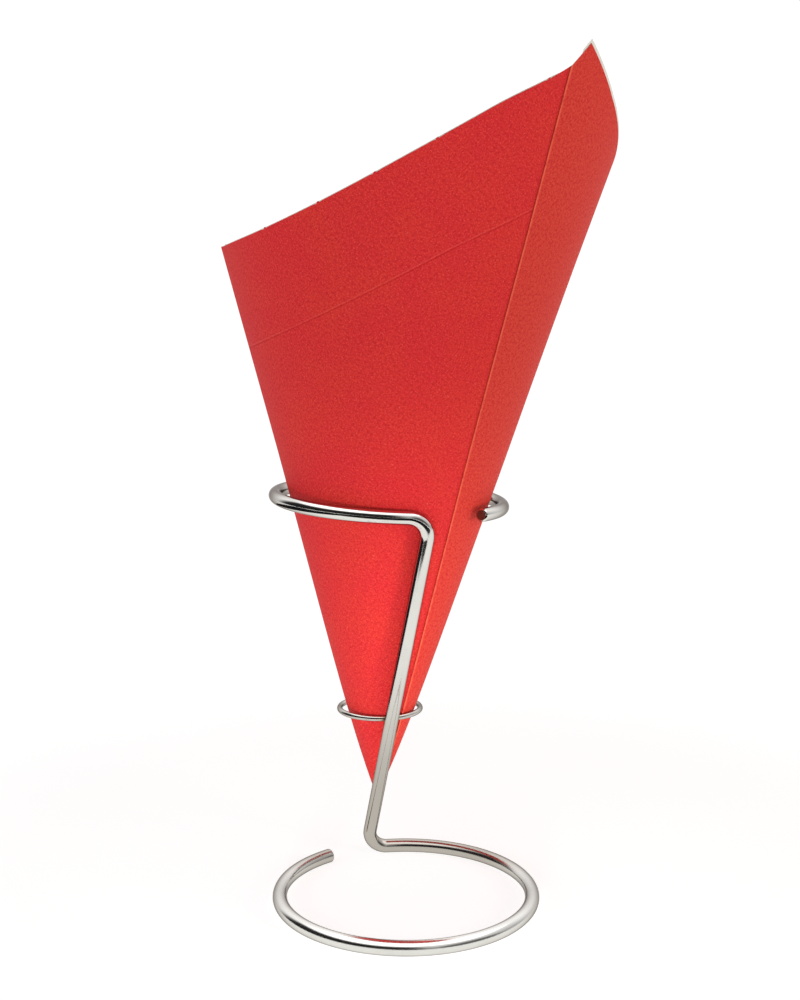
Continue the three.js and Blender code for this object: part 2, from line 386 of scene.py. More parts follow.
@dataclass(frozen=True)
class DyedPaper:
    """Matt red paper, dyed on the outside, with fibre grain, cloudy dye and a pressed score line."""

    name: str = "dyed_paper"
    red: tuple[float, float, float] = (0.57, 0.022, 0.027)
    warm: tuple[float, float, float] = (0.58, 0.032, 0.024)
    deep: tuple[float, float, float] = (0.44, 0.015, 0.020)
    # painted light: paler, more orange red on the outer flap
    flap: tuple[float, float, float] = (0.55, 0.044, 0.028)
    pale_fleck: tuple[float, float, float] = (0.84, 0.10, 0.085)
    pale_fibre: tuple[float, float, float] = (0.88, 0.20, 0.15)
    dark_fleck: tuple[float, float, float] = (0.33, 0.002, 0.006)
    score_light: tuple[float, float, float] = (0.90, 0.17, 0.13)
    score_dark: tuple[float, float, float] = (0.30, 0.002, 0.006)
    # painted highlight along the outer flap's edge
    painted_seam_highlight_tint: tuple[float, float, float] = (0.86, 0.17, 0.09)
    # painted shade beside the outer flap's edge
    lap_shade: tuple[float, float, float] = (0.28, 0.004, 0.008)
    score_width: float = 0.00045
    gloss_level: float = 0.07

    def build(self) -> bpy.types.Material:
        """Build the finish.

        Returns:
            The node material. It reads the piece's UV map, the flat sheet in metres, and its attributes.
        """
        material = bpy.data.materials.new(self.name)
        material.use_nodes = True
        sheet = NodeSheet(material.node_tree)
        flat = sheet.add("ShaderNodeUVMap", uv_map="flat_sheet").outputs["UV"]
        flap = sheet.add("ShaderNodeAttribute", attribute_name="painted_flap_light_share").outputs["Fac"]
        clouds = sheet.texture(flat, 38.0, 5.0, 0.6, 0.3)
        mottle = sheet.texture(flat, 780.0, 3.0, 0.7)
        grain = sheet.texture(flat, 1500.0, 3.0, 0.8)
        fibre_space = sheet.add("ShaderNodeMapping", in_Vector=flat, in_Rotation=(0.0, 0.0, 0.5),
                                in_Scale=(500.0, 1900.0, 1.0))
        fibre = sheet.texture(fibre_space.outputs[0], 1.0, 2.0, 0.6, 1.2)
        shade = sheet.blend(sheet.band(clouds, 0.3, 0.72), (*self.red, 1), (*self.warm, 1))
        # painted light: the outer flap's paler, more orange red
        shade = sheet.blend(flap, shade, (*self.flap, 1))
        shade = sheet.blend(sheet.band(mottle, 0.42, 0.64, 0.0, 0.72), shade, (*self.deep, 1))
        shade = sheet.blend(sheet.band(grain, 0.50, 0.68, 0.0, 0.50), shade, (*self.pale_fleck, 1))
        shade = sheet.blend(sheet.band(grain, 0.30, 0.46, 0.38, 0.0), shade, (*self.dark_fleck, 1))
        shade = sheet.blend(sheet.band(fibre, 0.66, 0.80, 0.0, 0.40), shade, (*self.pale_fibre, 1))
        height = sheet.math("ADD", sheet.math("MULTIPLY", mottle, 0.6),
                            sheet.math("MULTIPLY", grain, 0.5))
        height = sheet.math("ADD", height, sheet.math("MULTIPLY", fibre, 0.3))
        # pressed score: a lit ridge with a shaded groove under it
        side = sheet.add("ShaderNodeAttribute", attribute_name="score_offset").outputs["Fac"]
        ridge = sheet.band(sheet.math("ABSOLUTE", side), 0.0, self.score_width, 1.0, 0.0)
        below = sheet.math("ABSOLUTE", sheet.math("ADD", side, self.score_width * 1.5))
        groove = sheet.band(below, 0.0, self.score_width, 1.0, 0.0)
        broken = sheet.band(sheet.texture(flat, 240.0), 0.30, 0.55, 0.45, 1.0)
        shade = sheet.blend(sheet.math("MULTIPLY", sheet.math("MULTIPLY", ridge, broken), 0.13), shade,
                            (*self.score_light, 1))
        shade = sheet.blend(sheet.math("MULTIPLY", sheet.math("MULTIPLY", groove, broken), 0.44), shade,
                            (*self.score_dark, 1))
        height = sheet.math("ADD", height, sheet.math("MULTIPLY", ridge, 0.45))
        # painted highlight along the outer flap's edge, and faint painted shade beside it on the panel below
        edge = sheet.add("ShaderNodeAttribute", attribute_name="seam_offset").outputs["Fac"]
        painted_seam_highlight = sheet.band(sheet.math("ABSOLUTE", edge), 0.0003, 0.0012, 0.5, 0.0)
        shade = sheet.blend(sheet.math("MULTIPLY", painted_seam_highlight, broken), shade, (*self.painted_seam_highlight_tint, 1))
        beside = sheet.add("ShaderNodeAttribute", attribute_name="panel_offset").outputs["Fac"]
        shade = sheet.blend(sheet.band(beside, 0.0, 0.0022, 0.28, 0.0), shade, (*self.lap_shade, 1))
        rough = sheet.band(mottle, 0.3, 0.8, 0.62, 0.78)
        bump = sheet.add("ShaderNodeBump", in_Strength=0.35, in_Distance=0.0002, in_Height=height)
        shader = sheet.add("ShaderNodeBsdfPrincipled", in_Base_Color=shade, in_Roughness=rough,
                           in_Normal=bump.outputs[0])
        shader.inputs["Specular IOR Level"].default_value = self.gloss_level
        sheet.add("ShaderNodeOutputMaterial", in_Surface=shader.outputs[0])
        return material


@dataclass(frozen=True)
class PaperCore:
    """Cut edge of the dyed paper: the paler core shows, greyed and a little ragged."""

    name: str = "paper_core"
    tint: tuple[float, float, float] = (0.62, 0.44, 0.40)
    dye_tint: tuple[float, float, float] = (0.50, 0.20, 0.17)

    def build(self) -> bpy.types.Material:
        """Build the finish.

        Returns:
            The node material.
        """
        material = bpy.data.materials.new(self.name)
        material.use_nodes = True
        sheet = NodeSheet(material.node_tree)
        place = sheet.add("ShaderNodeTexCoord").outputs["Object"]
        shade = sheet.blend(sheet.band(sheet.texture(place, 1200.0), 0.35, 0.65), (*self.tint, 1),
                            (*self.dye_tint, 1))
        shader = sheet.add("ShaderNodeBsdfPrincipled", in_Base_Color=shade, in_Roughness=0.9)
        sheet.add("ShaderNodeOutputMaterial", in_Surface=shader.outputs[0])
        return material


@dataclass(frozen=True)
class GreaseproofPaper:
    """Pale greaseproof liner: warm grey-white, satin, with faint calender marks."""

    name: str = "greaseproof_paper"
    tint: tuple[float, float, float] = (0.70, 0.69, 0.65)
    cloud_tint: tuple[float, float, float] = (0.62, 0.605, 0.56)
    grain_tint: tuple[float, float, float] = (0.48, 0.46, 0.43)

    def build(self) -> bpy.types.Material:
        """Build the finish.

        Returns:
            The node material. It reads the piece's UV map, the flat sheet in metres.
        """
        material = bpy.data.materials.new(self.name)
        material.use_nodes = True
        sheet = NodeSheet(material.node_tree)
        flat = sheet.add("ShaderNodeUVMap", uv_map="flat_sheet").outputs["UV"]
        clouds = sheet.texture(flat, 160.0, 4.0, 0.65, 0.5)
        grain = sheet.texture(flat, 1600.0, 3.0, 0.7)
        shade = sheet.blend(sheet.band(clouds, 0.3, 0.7), (*self.tint, 1), (*self.cloud_tint, 1))
        shade = sheet.blend(sheet.band(grain, 0.6, 0.75, 0.0, 0.35), shade, (*self.grain_tint, 1))
        bump = sheet.add("ShaderNodeBump", in_Strength=0.25, in_Distance=0.0002, in_Height=grain)
        shader = sheet.add("ShaderNodeBsdfPrincipled", in_Base_Color=shade, in_Roughness=0.5,
                           in_Normal=bump.outputs[0])
        sheet.add("ShaderNodeOutputMaterial", in_Surface=shader.outputs[0])
        return material


# ---------------------------------------------------------------- frame and paths
@dataclass(frozen=True)
class WorkFrame:
    """Place of the working origin in the CAD frame, in metres."""

    x: float
    y: float

    def metres(self, points: np.ndarray) -> np.ndarray:
        """Turn working millimetres into metres in the CAD frame.

        Args:
            points: One point or an array of points.

        Returns:
            The same points in metres.
        """
        return np.asarray(points, float) * MM + np.array([self.x, self.y, 0.0])


def unit(vector: np.ndarray) -> np.ndarray:
    """Return the vector at length 1."""
    return vector / np.linalg.norm(vector)


def eased(turns: tuple[tuple[float, float], ...], at: float) -> float:
    """Smooth curve through a line's high and low points, half a cosine wave from each to the next.

    Args:
        turns: Place and value of each high and low point, in order.
        at: Place to read the curve.

    Returns:
        The value there; the curve is level past its ends.
    """
    if at <= turns[0][0]:
        return turns[0][1]
    for (left, start), (right, end) in zip(turns, turns[1:]):
        if at <= right:
            return (start + end) / 2 + (start - end) / 2 * math.cos(math.pi * (at - left) / (right - left))
    return turns[-1][1]


@dataclass(frozen=True)
class Ring:
    """A circle tilted by roll (right side up) and pitch (back up), angles in degrees."""

    centre: tuple[float, float, float]
    radius: float
    roll: float = 0.0
    pitch: float = 0.0

    def at(self, azimuth: float) -> np.ndarray:
        """Find a point of the ring.

        Args:
            azimuth: Degrees anticlockwise from +X, seen from above.

        Returns:
            The point in working millimetres.
        """
        a, r, p = (math.radians(v) for v in (azimuth, self.roll, self.pitch))
        x, y = self.radius * math.cos(a), self.radius * math.sin(a)
        x, z = x * math.cos(r), x * math.sin(r)
        y, z = y * math.cos(p) - z * math.sin(p), y * math.sin(p) + z * math.cos(p)
        return np.array([x, y, z]) + np.array(self.centre)

    def heading(self, azimuth: float) -> np.ndarray:
        """Return the unit direction of a clockwise walk at an azimuth."""
        return unit(self.at(azimuth - 0.01) - self.at(azimuth + 0.01))

    def run(self, start: float, end: float, step: float) -> list[np.ndarray]:
        """Walk the ring clockwise.

        Args:
            start: Azimuth of the first point, in degrees.
            end: Azimuth of the last point, lower than the first.
            step: Degrees from point to point, about.

        Returns:
            The points, both ends included.
        """
        return [self.at(a) for a in np.linspace(start, end, max(2, int(abs(start - end) / step) + 1))]


def bend(corner: np.ndarray, into: np.ndarray, out: np.ndarray, radius: float,
         steps: int) -> list[np.ndarray]:
    """Arc that rounds a corner.

    Args:
        corner: Where the two straight lines meet.
        into: Unit direction of travel before the corner.
        out: Unit direction of travel after it.
        radius: Bend radius to the centre line.
        steps: Number of chords.

    Returns:
        The arc's points, both ends included.
    """
    turn = math.acos(float(np.clip(into @ out, -1, 1)))
    start = corner - into * radius * math.tan(turn / 2)
    inward = unit(out - into * float(into @ out))
    centre = start + inward * radius
    return [centre + into * radius * math.sin(a) - inward * radius * math.cos(a)
            for a in np.linspace(0, turn, steps + 1)]


class RodSweep:
    """Geometry Nodes tree that turns a line of edges into a round bar, with named sizes."""

    def __init__(self, name: str) -> None:
        """Build the tree once.

        Args:
            name: The node group's name.
        """
        self.group = bpy.data.node_groups.new(name, "GeometryNodeTree")
        face = self.group.interface
        self.sockets = {
            label: face.new_socket(name=label, in_out="INPUT", socket_type=kind.value)
            for label, kind in (("Line", Socket.GEOMETRY), ("Bar radius", Socket.NUMBER),
                                ("Sides", Socket.COUNT), ("Finish", Socket.MATERIAL))
        }
        face.new_socket(name="Bar", in_out="OUTPUT", socket_type=Socket.GEOMETRY.value)
        sheet = NodeSheet(self.group)
        given = sheet.add("NodeGroupInput")
        line = sheet.add("GeometryNodeMeshToCurve", in_Mesh=given.outputs["Line"])
        walk = sheet.add("GeometryNodeSplineParameter")
        along = sheet.add("GeometryNodeCaptureAttribute")
        along.capture_items.new("FLOAT", "Along")
        sheet.link(line.outputs[0], along.inputs["Geometry"])
        sheet.link(walk.outputs["Length"], along.inputs["Along"])
        circle = sheet.add("GeometryNodeCurvePrimitiveCircle", in_Resolution=given.outputs["Sides"],
                           in_Radius=given.outputs["Bar radius"])
        around = sheet.add("GeometryNodeCaptureAttribute")
        around.capture_items.new("FLOAT", "Around")
        sheet.link(circle.outputs["Curve"], around.inputs["Geometry"])
        sheet.link(sheet.add("GeometryNodeSplineParameter").outputs["Factor"], around.inputs["Around"])
        girth = sheet.add("GeometryNodeInputNamedAttribute", data_type="FLOAT", in_Name="girth")
        sweep = sheet.add("GeometryNodeCurveToMesh", in_Fill_Caps=True, in_Scale=girth.outputs["Attribute"])
        sheet.link(along.outputs["Geometry"], sweep.inputs["Curve"])
        sheet.link(around.outputs["Geometry"], sweep.inputs["Profile Curve"])
        angle = sheet.math("MULTIPLY", around.outputs["Around"], 2 * math.pi)
        triple = sheet.add("ShaderNodeCombineXYZ", in_X=along.outputs["Along"],
                           in_Y=sheet.math("COSINE", angle), in_Z=sheet.math("SINE", angle))
        store = sheet.add("GeometryNodeStoreNamedAttribute", data_type="FLOAT_VECTOR", domain="POINT",
                          in_Geometry=sweep.outputs["Mesh"], in_Name="rod_run", in_Value=triple.outputs[0])
        smooth = sheet.add("GeometryNodeSetShadeSmooth", in_Geometry=store.outputs[0])
        real = sheet.add("GeometryNodeRealizeInstances", in_Geometry=smooth.outputs[0])
        dress = sheet.add("GeometryNodeSetMaterial", in_Geometry=real.outputs[0],
                          in_Material=given.outputs["Finish"])
        sheet.add("NodeGroupOutput", in_Bar=dress.outputs[0])

    def sweep(self, name: str, points: np.ndarray, girth: list[float], radius: float, sides: int,
              finish: bpy.types.Material, closed: bool) -> bpy.types.Object:
        """Sweep a bar and return it as a plain mesh object.

        Args:
            name: The piece's name.
            points: Centre line, in metres in the CAD frame.
            girth: Share of the radius at each point.
            radius: Bar radius in metres.
            sides: Sides of the section.
            finish: Material for the bar.
            closed: Whether the line's ends meet.

        Returns:
            The finished object at the origin.
        """
        mesh = bpy.data.meshes.new(name)
        count = len(points)
        edges = [(i, i + 1) for i in range(count - 1)] + ([(count - 1, 0)] if closed else [])
        mesh.from_pydata([tuple(map(float, p)) for p in points], edges, [])
        mesh.attributes.new("girth", "FLOAT", "POINT").data.foreach_set("value", np.array(girth, np.float32))
        obj = bpy.data.objects.new(name, mesh)
        bpy.context.scene.collection.objects.link(obj)
        modifier = obj.modifiers.new("sweep", "NODES")
        modifier.node_group = self.group
        for label, value in (("Bar radius", radius), ("Sides", sides), ("Finish", finish)):
            modifier[self.sockets[label].identifier] = value
        graph = bpy.context.evaluated_depsgraph_get()
        made = bpy.data.meshes.new_from_object(obj.evaluated_get(graph))
        obj.modifiers.clear()
        obj.data = made
        made.name = name
        if not made.materials:
            made.materials.append(finish)
        face_outwards(made)
        return obj


# ---------------------------------------------------------------- stand
@dataclass
class BentRod:
    """The one bar that is base ring, stem and upper ring."""

    place: WorkFrame
    bar_radius: float = BAR_RADIUS
    base: Ring = field(default_factory=lambda: Ring((0.0, 0.0, BAR_RADIUS), BASE_RING_RADIUS))
    upper: Ring = field(default_factory=lambda: Ring((-7.3, 58.4, 162.0), 51.0, -3.1, 1.8))
    base_start: float = 97.0
    base_end: float = -229.5
    upper_start: float = -80.9
    upper_end: float = -398.5
    foot_bend: float = 8.0
    top_bend: float = 9.0
    foot_lead: float = 11.2
    top_lead: float = 9.7
    end_round: float = 0.75
    ring_step: float = 1.2
    foot_chords: int = 20
    top_chords: int = 22
    stem_chords: int = 59
    sides: int = 40

    def corners(self) -> tuple[np.ndarray, np.ndarray]:
        """Return the foot corner and the top corner of the straight stem."""
        foot = self.base.at(self.base_start) - self.base.heading(self.base_start) * self.foot_lead
        top = self.upper.at(self.upper_start) - self.upper.heading(self.upper_start) * self.top_lead
        return foot, top

    def centre_line(self) -> tuple[np.ndarray, list[float]]:
        """Lay out the bar from the base ring's free end to the upper ring's.

        Returns:
            The centre line's points, and the share of the bar's radius at each.
        """
        foot, top = self.corners()
        stem = unit(top - foot)
        half_step = self.ring_step / 2
        line = self.base.run(self.base_start - half_step, self.base_end, self.ring_step)[::-1]
        line += bend(foot, -self.base.heading(self.base_start), stem, self.foot_bend, self.foot_chords)
        upper_bend = bend(top, stem, self.upper.heading(self.upper_start), self.top_bend, self.top_chords)
        straight = upper_bend[0] - line[-1]
        line += [line[-1] + straight * t for t in np.linspace(0, 1, self.stem_chords + 1)[1:-1]]
        line += upper_bend
        line += self.upper.run(self.upper_start - half_step, self.upper_end, self.ring_step)
        # rounded arris at both cut ends
        steps = [math.radians(a) for a in range(15, 91, 15)]
        first, last = unit(line[0] - line[1]), unit(line[-1] - line[-2])
        tail = [line[0] + first * self.end_round * math.sin(a) for a in steps][::-1]
        head = [line[-1] + last * self.end_round * math.sin(a) for a in steps]
        taper = [1 - self.end_round / self.bar_radius * (1 - math.cos(a)) for a in steps]
        return np.array(tail + line + head), taper[::-1] + [1.0] * len(line) + taper

    def build(self, sweep: RodSweep, steel: bpy.types.Material, cut: bpy.types.Material) -> bpy.types.Object:
        """Make the bar, give its two cut ends their own finish, and stand it for the CAD bar.

        Args:
            sweep: The tree that makes bars.
            steel: Finish of the drawn surface.
            cut: Finish of the cut ends.

        Returns:
            The bar.
        """
        line, girth = self.centre_line()
        bar = sweep.sweep("bent_rod", self.place.metres(line), girth, self.bar_radius * MM,
                          self.sides, steel, False)
        bar.data.materials.append(cut)
        for polygon in bar.data.polygons:
            if len(polygon.vertices) > 4:  # the two caps
                polygon.material_index = 1
                polygon.use_smooth = False
        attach(bar, "stand")
        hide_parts("stand_rod")
        return bar


@dataclass
class TipRing:
    """Closed wire ring that steadies the cone's tip, brazed to the stem."""

    place: WorkFrame
    rod: BentRod
    wire_radius: float = 1.25
    radius: float = 18.3
    height: float = 66.8
    gap: float = 0.02
    axis_at_ring: tuple[float, float] = (-11.353, 55.340)
    sides: int = 28
    segments: int = 220
    bead_size: tuple[float, float, float] = (2.5, 1.55, 2.7)
    bead_lift: float = 0.1
    bead_ripple: float = 0.09
    bead_waist: float = 0.24
    waist_height: float = 0.34
    bead_taper: float = 0.25

    def contact(self) -> tuple[np.ndarray, np.ndarray, np.ndarray]:
        """Find where the ring meets the stem.

        Returns:
            The meeting point, the unit direction from the stem to the ring's centre, and that centre.
        """
        foot, top = self.rod.corners()
        up = unit(top - foot)
        stem = foot + up * (self.height - foot[2]) / up[2]
        inward = unit(np.array([self.axis_at_ring[0] - stem[0], self.axis_at_ring[1] - stem[1], 0.0]))
        across = math.sin(math.acos(float(up @ inward)))
        reach = (self.rod.bar_radius + self.gap) / across + self.wire_radius
        centre = stem + inward * (self.radius + reach)
        return stem + inward * (reach - self.wire_radius), inward, centre

    def build(self, sweep: RodSweep, steel: bpy.types.Material,
              braze: bpy.types.Material) -> list[bpy.types.Object]:
        """Make the wire ring and its braze bead.

        Args:
            sweep: The tree that makes bars.
            steel: Finish of the wire.
            braze: Finish of the bead.

        Returns:
            The ring and the bead.
        """
        contact, inward, centre = self.contact()
        side = np.array([-inward[1], inward[0], 0.0])
        turns = np.linspace(0, 2 * math.pi, self.segments, endpoint=False)
        line = np.array([centre - inward * self.radius * math.cos(t) + side * self.radius * math.sin(t)
                         for t in turns])
        ring = sweep.sweep("wire_ring", self.place.metres(line), [1.0] * len(line), self.wire_radius * MM,
                           self.sides, steel, True)
        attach(ring, "stand")
        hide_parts("tip_ring")
        bead = self.bead(contact, inward, side)
        bead.data.materials.append(braze)
        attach(bead, "stand")
        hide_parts("tip_ring_weld")
        return [ring, bead]

    def bead(self, contact: np.ndarray, inward: np.ndarray, side: np.ndarray) -> bpy.types.Object:
        """Make the braze bead: a rippled saddle that wets both the wire and the stem.

        Args:
            contact: Where the wire meets the stem.
            inward: Unit direction from the stem to the ring's centre.
            side: Unit direction along the wire.

        Returns:
            The bead, without a finish.
        """
        shape = bmesh.new()
        bmesh.ops.create_icosphere(shape, subdivisions=5, radius=1.0)
        up = np.array([0.0, 0.0, 1.0])
        long, deep, high = self.bead_size
        for vert in shape.verts:
            d = np.array(vert.co)
            ripple = noise.fractal(Vector(d * 2.3 + 4.0), 1.0, 2.0, 3)
            waist = 1.0 - self.bead_waist * math.exp(-(d[2] / self.waist_height) ** 2)
            size = (1.0 + self.bead_ripple * ripple) * waist
            along = long * (1.0 - self.bead_taper * abs(d[2]))
            point = contact + side * d[0] * along * size + up * d[2] * high * size
            point = point + inward * (d[1] * deep * size + self.bead_lift)
            vert.co = Vector(self.place.metres(point))
        obj = mesh_object("braze_bead", np.zeros((0, 3)), [])
        shape.to_mesh(obj.data)
        shape.free()
        face_outwards(obj.data)
        for polygon in obj.data.polygons:
            polygon.use_smooth = True
        return obj


# ---------------------------------------------------------------- paper cone
class Ply(Enum):
    """The two plies of the rolled cone."""

    OUTER = "outer"
    LINER = "liner"


@dataclass
class PaperCone:
    """One flat sheet, cut along straight edges, scored, and rolled with an overlapped seam."""

    place: WorkFrame
    tip: tuple[float, float, float] = (-13.1, 54.5, 25.0)
    lean: tuple[float, float] = (0.0418, 0.0201)
    width_rate: float = 0.3025
    depth_rate: float = 0.3242
    swell_width: float = 0.283
    swell_depth: float = 0.31
    swell_length: float = 60.0
    crease_spread: float = 0.4
    start: float = 6.0
    wrap: float = 112.3
    crease_side: float = 255.6
    top_tilt: float = 1.0
    seam: float = 40.0
    peak: float = 41.3
    flap_slope: float = 72.0
    back_corner: float = 83.6
    edge_turns: tuple[tuple[float, float], ...] = ((-2.5, 2.9), (15.2, -2.4), (34.2, 2.3), (41.6, -2.2))
    flap_corner: float = 327.0
    peak_lift: float = 1.7
    lift_fades: float = 4.5
    fold_fades: float = 6.0
    underlap: float = 8.0
    paper: float = 0.30
    layer_gap: float = 0.12
    liner: float = 0.10
    liner_peek: float = 1.7
    liner_hairline: float = 0.4
    liner_low: float = -0.5
    liner_shows_to: float = 62.0
    rows: int = 96
    columns: int = 230
    nibs: tuple[float, ...] = (5.0, 14.6, 20.9, 25.9, 30.6, 38.4)
    nib_half: float = 0.38
    nib_height: float = 0.4
    nib_foot: float = 0.25
    hidden_cut: float = 2.5
    liner_edge: float = 0.3
    row_spread: float = 1.12
    # flat-sheet angles over which the painted light on the outer flap fades out
    painted_flap_light_angles: tuple[float, float] = (56.0, 66.0)
    far_off: float = 1.0
    loose_from: float = 165.0
    loose_over: float = 90.0
    score_turns: tuple[tuple[float, float], ...] = ((-3.0, 213.3), (11.0, 211.4), (31.0, 215.0),
                                                    (50.0, 203.0))

    def axes(self) -> tuple[np.ndarray, np.ndarray, np.ndarray]:
        """Return the cone's unit axis, right and front directions."""
        axis = unit(np.array([self.lean[0], self.lean[1], 1.0]))
        right = np.array([1.0, 0.0, -axis[0] / axis[2]])
        right = unit(right - axis * float(right @ axis))
        return axis, right, np.cross(right, axis)

    def crease_cut(self, angle: float) -> float:
        """Return the length from the tip to the straight top cut, at a flat angle from the left crease."""
        tilt = math.radians(self.top_tilt)
        return self.crease_side * math.cos(tilt) / math.cos(math.radians(angle) - tilt)

    def rim(self, angle: float) -> float:
        """Length of the generator at a flat-sheet angle.

        Args:
            angle: Flat-sheet angle. Under one wrap it is the outer flap and the back, past it the front.

        Returns:
            The length to the cut edge, with the edge's slight sag.
        """
        a = angle % self.wrap
        peak = self.crease_cut(self.peak)
        slope = peak * math.cos(math.radians(self.flap_slope - self.peak))
        slope /= math.cos(math.radians(a - self.flap_slope))
        if angle >= self.wrap:
            return slope if a > self.peak else self.crease_cut(a) + eased(self.edge_turns, a)
        if a <= self.peak:
            share = (a - self.seam) / (self.peak - self.seam)
            return self.flap_corner + (peak + self.peak_lift - self.flap_corner) * share
        slope += self.peak_lift * max(0.0, 1 - (a - self.peak) / self.lift_fades)
        if a < self.back_corner:
            return slope
        lift = eased(self.edge_turns, 0.0) * max(0.0, 1 - (self.wrap - a) / self.fold_fades)
        return min(slope, self.crease_cut(a - self.wrap) + lift)

    def wave(self, rho: float, angle: float) -> float:
        """Work out the slow, hand-rolled unevenness of the wall; it grows towards the open top.

        Args:
            rho: Distance from the tip along a generator.
            angle: Flat-sheet angle.

        Returns:
            How far the wall stands out, in millimetres.
        """
        loose = min(1.0, max(0.0, (rho - self.loose_from) / self.loose_over))
        turn = angle / self.wrap * 2 * math.pi
        return loose * (0.55 * math.sin(turn * 3 + 0.7) + 0.35 * math.sin(turn * 5 + rho * 0.011))

    def point(self, rho: float, angle: float, inset: float) -> np.ndarray:
        """Point on the rolled sheet.

        Args:
            rho: Distance from the tip along a generator.
            angle: Flat-sheet angle from the left crease, in degrees.
            inset: Depth under the outer face.

        Returns:
            The point in working millimetres.
        """
        axis, right, front = self.axes()
        turn = (angle / self.wrap) * 2 * math.pi
        within = turn % (2 * math.pi)
        from_crease = min(within, 2 * math.pi - within)
        swell = math.exp(-rho / self.swell_length)
        x = -rho * self.width_rate * (1 + self.swell_width * swell) * math.cos(turn)
        y = (rho * self.depth_rate * (1 + self.swell_depth * swell) * math.sin(turn)
             * (1 - math.exp(-from_crease / self.crease_spread)))
        r = math.hypot(x, y)
        keep = 1 - (inset - self.wave(rho, angle)) / r
        along = axis * math.sqrt(rho * rho - r * r)
        return np.array(self.tip) + along + right * x * keep + front * y * keep

    def grid_angles(self, start: float, end: float, ply: Ply) -> list[float]:
        """Choose the grid lines: even steps, with lines on each corner and round each nib.

        Args:
            start: Flat-sheet angle of the ply's first side edge.
            end: Flat-sheet angle of its last side edge.
            ply: Which ply it is; only the outer one has nibs.

        Returns:
            The lines' flat-sheet angles, in order.
        """
        fixed = [self.peak, self.back_corner, self.wrap, self.seam + self.wrap, self.peak + self.wrap]
        fixed += [self.seam + 0.16, self.seam + 0.4, self.seam + 1.0, self.seam + self.wrap - 0.45]
        if ply is Ply.OUTER:
            for nib in self.nibs:
                per_mm = self.degrees_per_mm(nib)
                foot = self.nib_half + self.nib_foot
                for shift in (-foot, -self.nib_half, self.nib_half, foot):
                    fixed.append(nib + shift * per_mm + self.wrap)
        fixed = [a for a in fixed if start + 0.05 < a < end - 0.05]
        step = (end - start) / self.columns
        even = [start + i * step for i in range(1, self.columns)]
        even = [a for a in even if all(abs(a - f) > step * 0.3 for f in fixed)]
        return sorted([start, end, *fixed, *even])

    def degrees_per_mm(self, angle: float) -> float:
        """Return the flat-sheet degrees for 1 mm along the top edge at an angle."""
        return math.degrees(math.cos(math.radians(angle)) / self.crease_cut(angle))

    def nib(self, angle: float) -> float:
        """Work out the extra height of the small tabs left where the sheet was torn from its row.

        Args:
            angle: Flat-sheet angle.

        Returns:
            The extra height in millimetres; it is below zero just beside a tab.
        """
        a = angle - self.wrap
        for place in self.nibs:
            away = abs(a - place) / self.degrees_per_mm(place)
            if away <= self.nib_half + 0.01:
                return self.nib_height
            if away <= self.nib_half + self.nib_foot + 0.05:
                return -self.nib_foot
        return 0.0

    def liner_trim(self, angle: float) -> float:
        """Work out how far the liner stands above the red edge.

        Args:
            angle: Flat-sheet angle.

        Returns:
            Millimetres above the edge, or below it if negative.
        """
        front = self.wrap + self.seam
        stops = (0.0, self.liner_shows_to, self.liner_shows_to + 14.0, self.wrap, self.wrap + 1.0,
                 front - 1.0, front, front + self.underlap)
        trims = (self.liner_peek, self.liner_peek, self.liner_low, self.liner_low, self.liner_hairline,
                 self.liner_hairline, -2.0, -2.0)
        return float(np.interp(angle, stops, trims))

    def build_ply(self, ply: Ply) -> bpy.types.Object:
        """Make one ply as a closed thin solid with the flat sheet as its UV map.

        Args:
            ply: Which ply to make.

        Returns:
            The object; faces on the top and bottom cut edges have material index 1.
        """
        turn_step = self.paper + self.layer_gap
        end = self.seam + self.wrap + self.underlap
        if ply is Ply.OUTER:
            start, inset, thick = self.seam, 0.0, self.paper
        else:
            start, inset, thick = self.seam + 0.7, self.paper + 0.01, self.liner
        angles = self.grid_angles(start, end, ply)
        rho_share = np.linspace(0, 1, self.rows) ** self.row_spread
        tone_from, tone_to = self.painted_flap_light_angles
        outer, inner, flat = [], [], []
        marks = {"score_offset": [], "painted_flap_light_share": [], "seam_offset": [], "panel_offset": []}
        for index, angle in enumerate(angles):
            top = self.rim(angle)
            if ply is Ply.OUTER:
                top += self.nib(angle) if angle < self.seam + self.wrap - 0.5 else 0.0
                top -= self.hidden_cut if angle > self.peak + self.wrap - 0.1 else 0.0
            else:
                top += self.liner_trim(angle)
            for share in rho_share:
                rho = self.start + (top - self.start) * share
                edge = 0.0
                if ply is Ply.LINER:
                    edge = self.liner_edge * ((index == 0) - (index == len(angles) - 1))
                a = angle + math.degrees(edge / rho)
                wound = turn_step * (a - self.seam) / self.wrap
                outer.append(self.point(rho, a, wound + inset))
                inner.append(self.point(rho, a, wound + inset + thick))
                flat.append((rho * math.sin(math.radians(a)) * MM, rho * math.cos(math.radians(a)) * MM))
                panel = a - self.wrap
                above = (rho * math.cos(math.radians(panel)) - eased(self.score_turns, panel)) * MM
                marks["score_offset"].append(above if panel > -1.5 else self.far_off)
                marks["painted_flap_light_share"].append(max(0.0, min(1.0, (tone_to - a) / (tone_to - tone_from))))
                marks["seam_offset"].append(rho * math.radians(a - self.seam) * MM)
                before = rho * math.radians(self.seam - panel) * MM
                marks["panel_offset"].append(before if panel > 0.0 else self.far_off)
        obj = self.skin(ply, len(angles), outer, inner, flat)
        for name, values in marks.items():
            layer = obj.data.attributes.new(name, "FLOAT", "POINT")
            layer.data.foreach_set("value", np.array(values + values, np.float32))
        return obj

